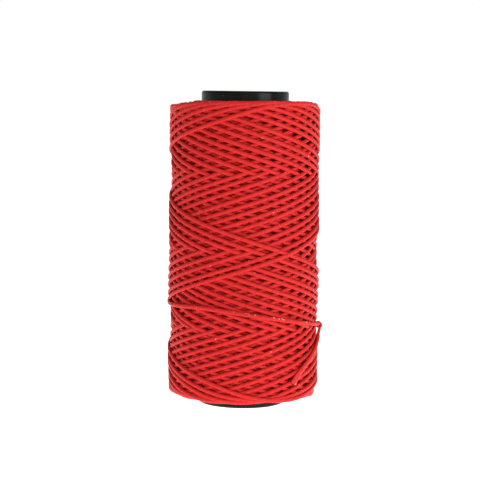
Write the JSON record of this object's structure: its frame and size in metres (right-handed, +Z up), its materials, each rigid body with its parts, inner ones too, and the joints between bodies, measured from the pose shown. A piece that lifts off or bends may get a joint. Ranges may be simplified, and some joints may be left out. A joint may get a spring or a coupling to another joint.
{
  "type": "string reel",
  "caption": "Straight hollow tube with a long cross-wound string in nested layers, tied off by a turn, a half hitch and a short cut end.",
  "frame": {"origin": "centre of the tube's lower rim, on the surface the reel stands on", "axes": "+Z up the tube's axis; the half hitch and the cut end are on the +X side, and -Y is the front"},
  "size_m": [0.0565, 0.0553, 0.11],
  "materials": {
    "tube_plastic": "black moulded plastic, satin",
    "string": "bright red twisted and waxed string, soft sheen"
  },
  "bodies": {
    "root": {"core_tube": "tube_plastic", "start_turns": "string", "winding_layer_1": "string", "winding_layer_2": "string", "winding_layer_3": "string", "winding_layer_4": "string", "winding_layer_5": "string", "winding_layer_6": "string", "winding_layer_7": "string", "finishing_turn": "string", "half_hitch": "string", "string_end": "string"}
  },
  "joints": []
}
